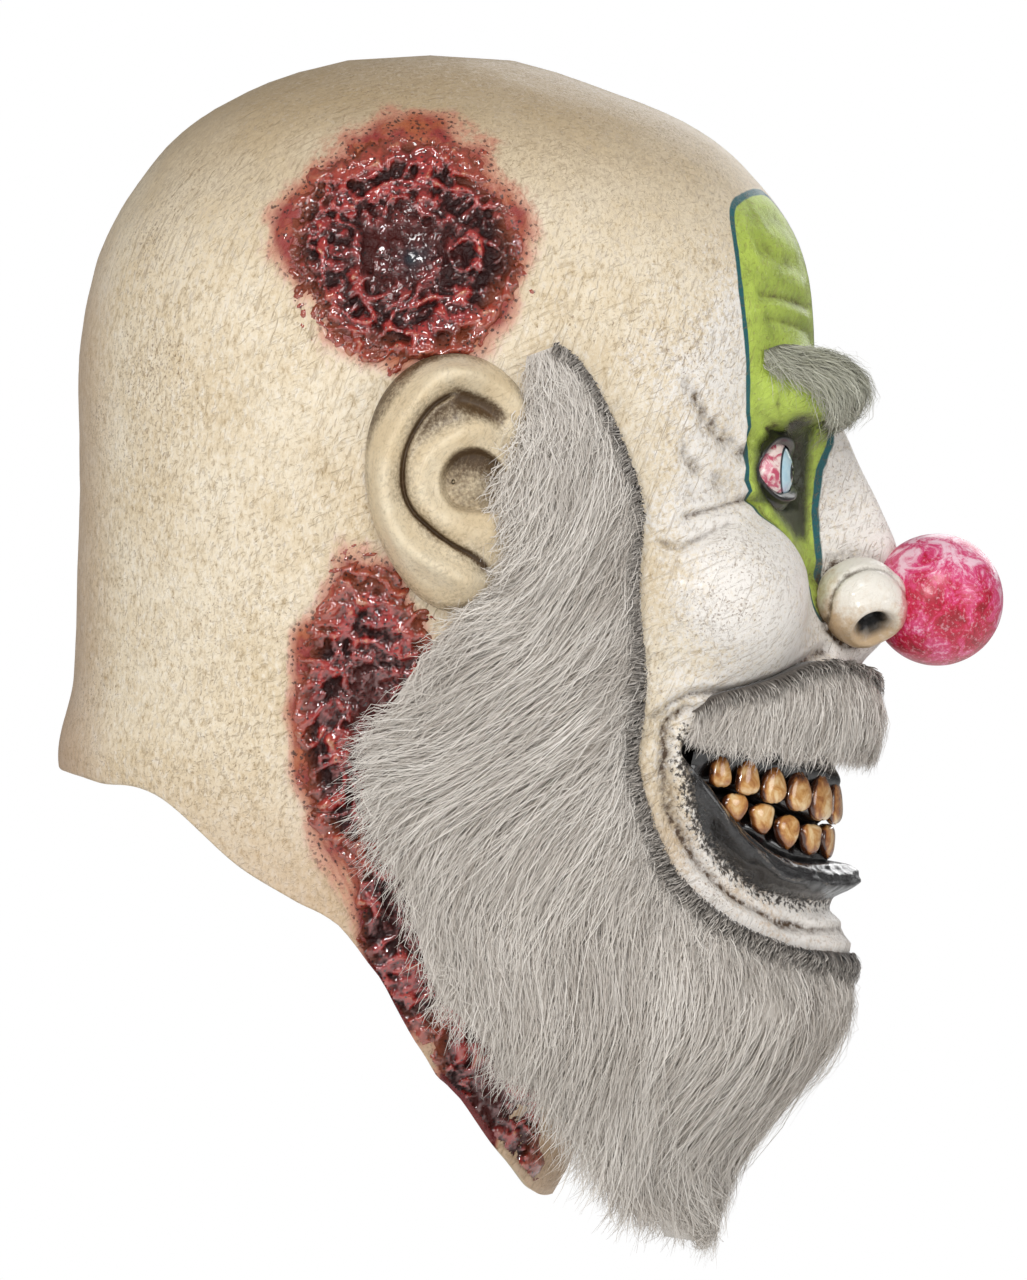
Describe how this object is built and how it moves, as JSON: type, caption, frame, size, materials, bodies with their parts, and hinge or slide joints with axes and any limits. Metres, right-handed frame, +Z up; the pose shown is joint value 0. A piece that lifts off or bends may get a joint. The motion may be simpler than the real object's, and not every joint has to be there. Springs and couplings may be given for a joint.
{
  "type": "clown mask",
  "caption": "Hollow over-the-head clown mask with a bald head, ball nose, open grin, glued teeth, fur beard, moustache and brows, open at the neck.",
  "frame": {"origin": "inside of the crown, where the mask rests on the wearer's head", "axes": "+Z up, the face looks along -Y, the mask's right side is on -X"},
  "size_m": [0.2246, 0.292, 0.368],
  "materials": {
    "latex": "painted natural latex, satin",
    "red_paint": "glossy red paint over latex",
    "eye": "gloss",
    "gum": "glossy black paint over latex",
    "tooth": "gloss, stained",
    "fur": "faux fur"
  },
  "bodies": {
    "root": {"latex_skin": "latex", "nose_ball": "red_paint", "eye_right": "eye", "eye_left": "eye", "upper_gum": "gum", "lower_gum": "gum", "beard": "fur", "moustache": "fur", "brow_right": "fur", "brow_left": "fur", "upper_tooth_right_1": "tooth", "upper_tooth_right_2": "tooth", "upper_tooth_right_3": "tooth", "upper_tooth_right_4": "tooth", "upper_tooth_right_5": "tooth", "upper_tooth_right_6": "tooth", "upper_tooth_left_1": "tooth", "upper_tooth_left_2": "tooth", "upper_tooth_left_3": "tooth", "upper_tooth_left_4": "tooth", "upper_tooth_left_5": "tooth", "upper_tooth_left_6": "tooth", "lower_tooth_right_1": "tooth", "lower_tooth_right_2": "tooth", "lower_tooth_right_3": "tooth", "lower_tooth_right_4": "tooth", "lower_tooth_right_5": "tooth", "lower_tooth_left_1": "tooth", "lower_tooth_left_2": "tooth", "lower_tooth_left_3": "tooth", "lower_tooth_left_4": "tooth", "lower_tooth_left_5": "tooth"}
  },
  "joints": []
}
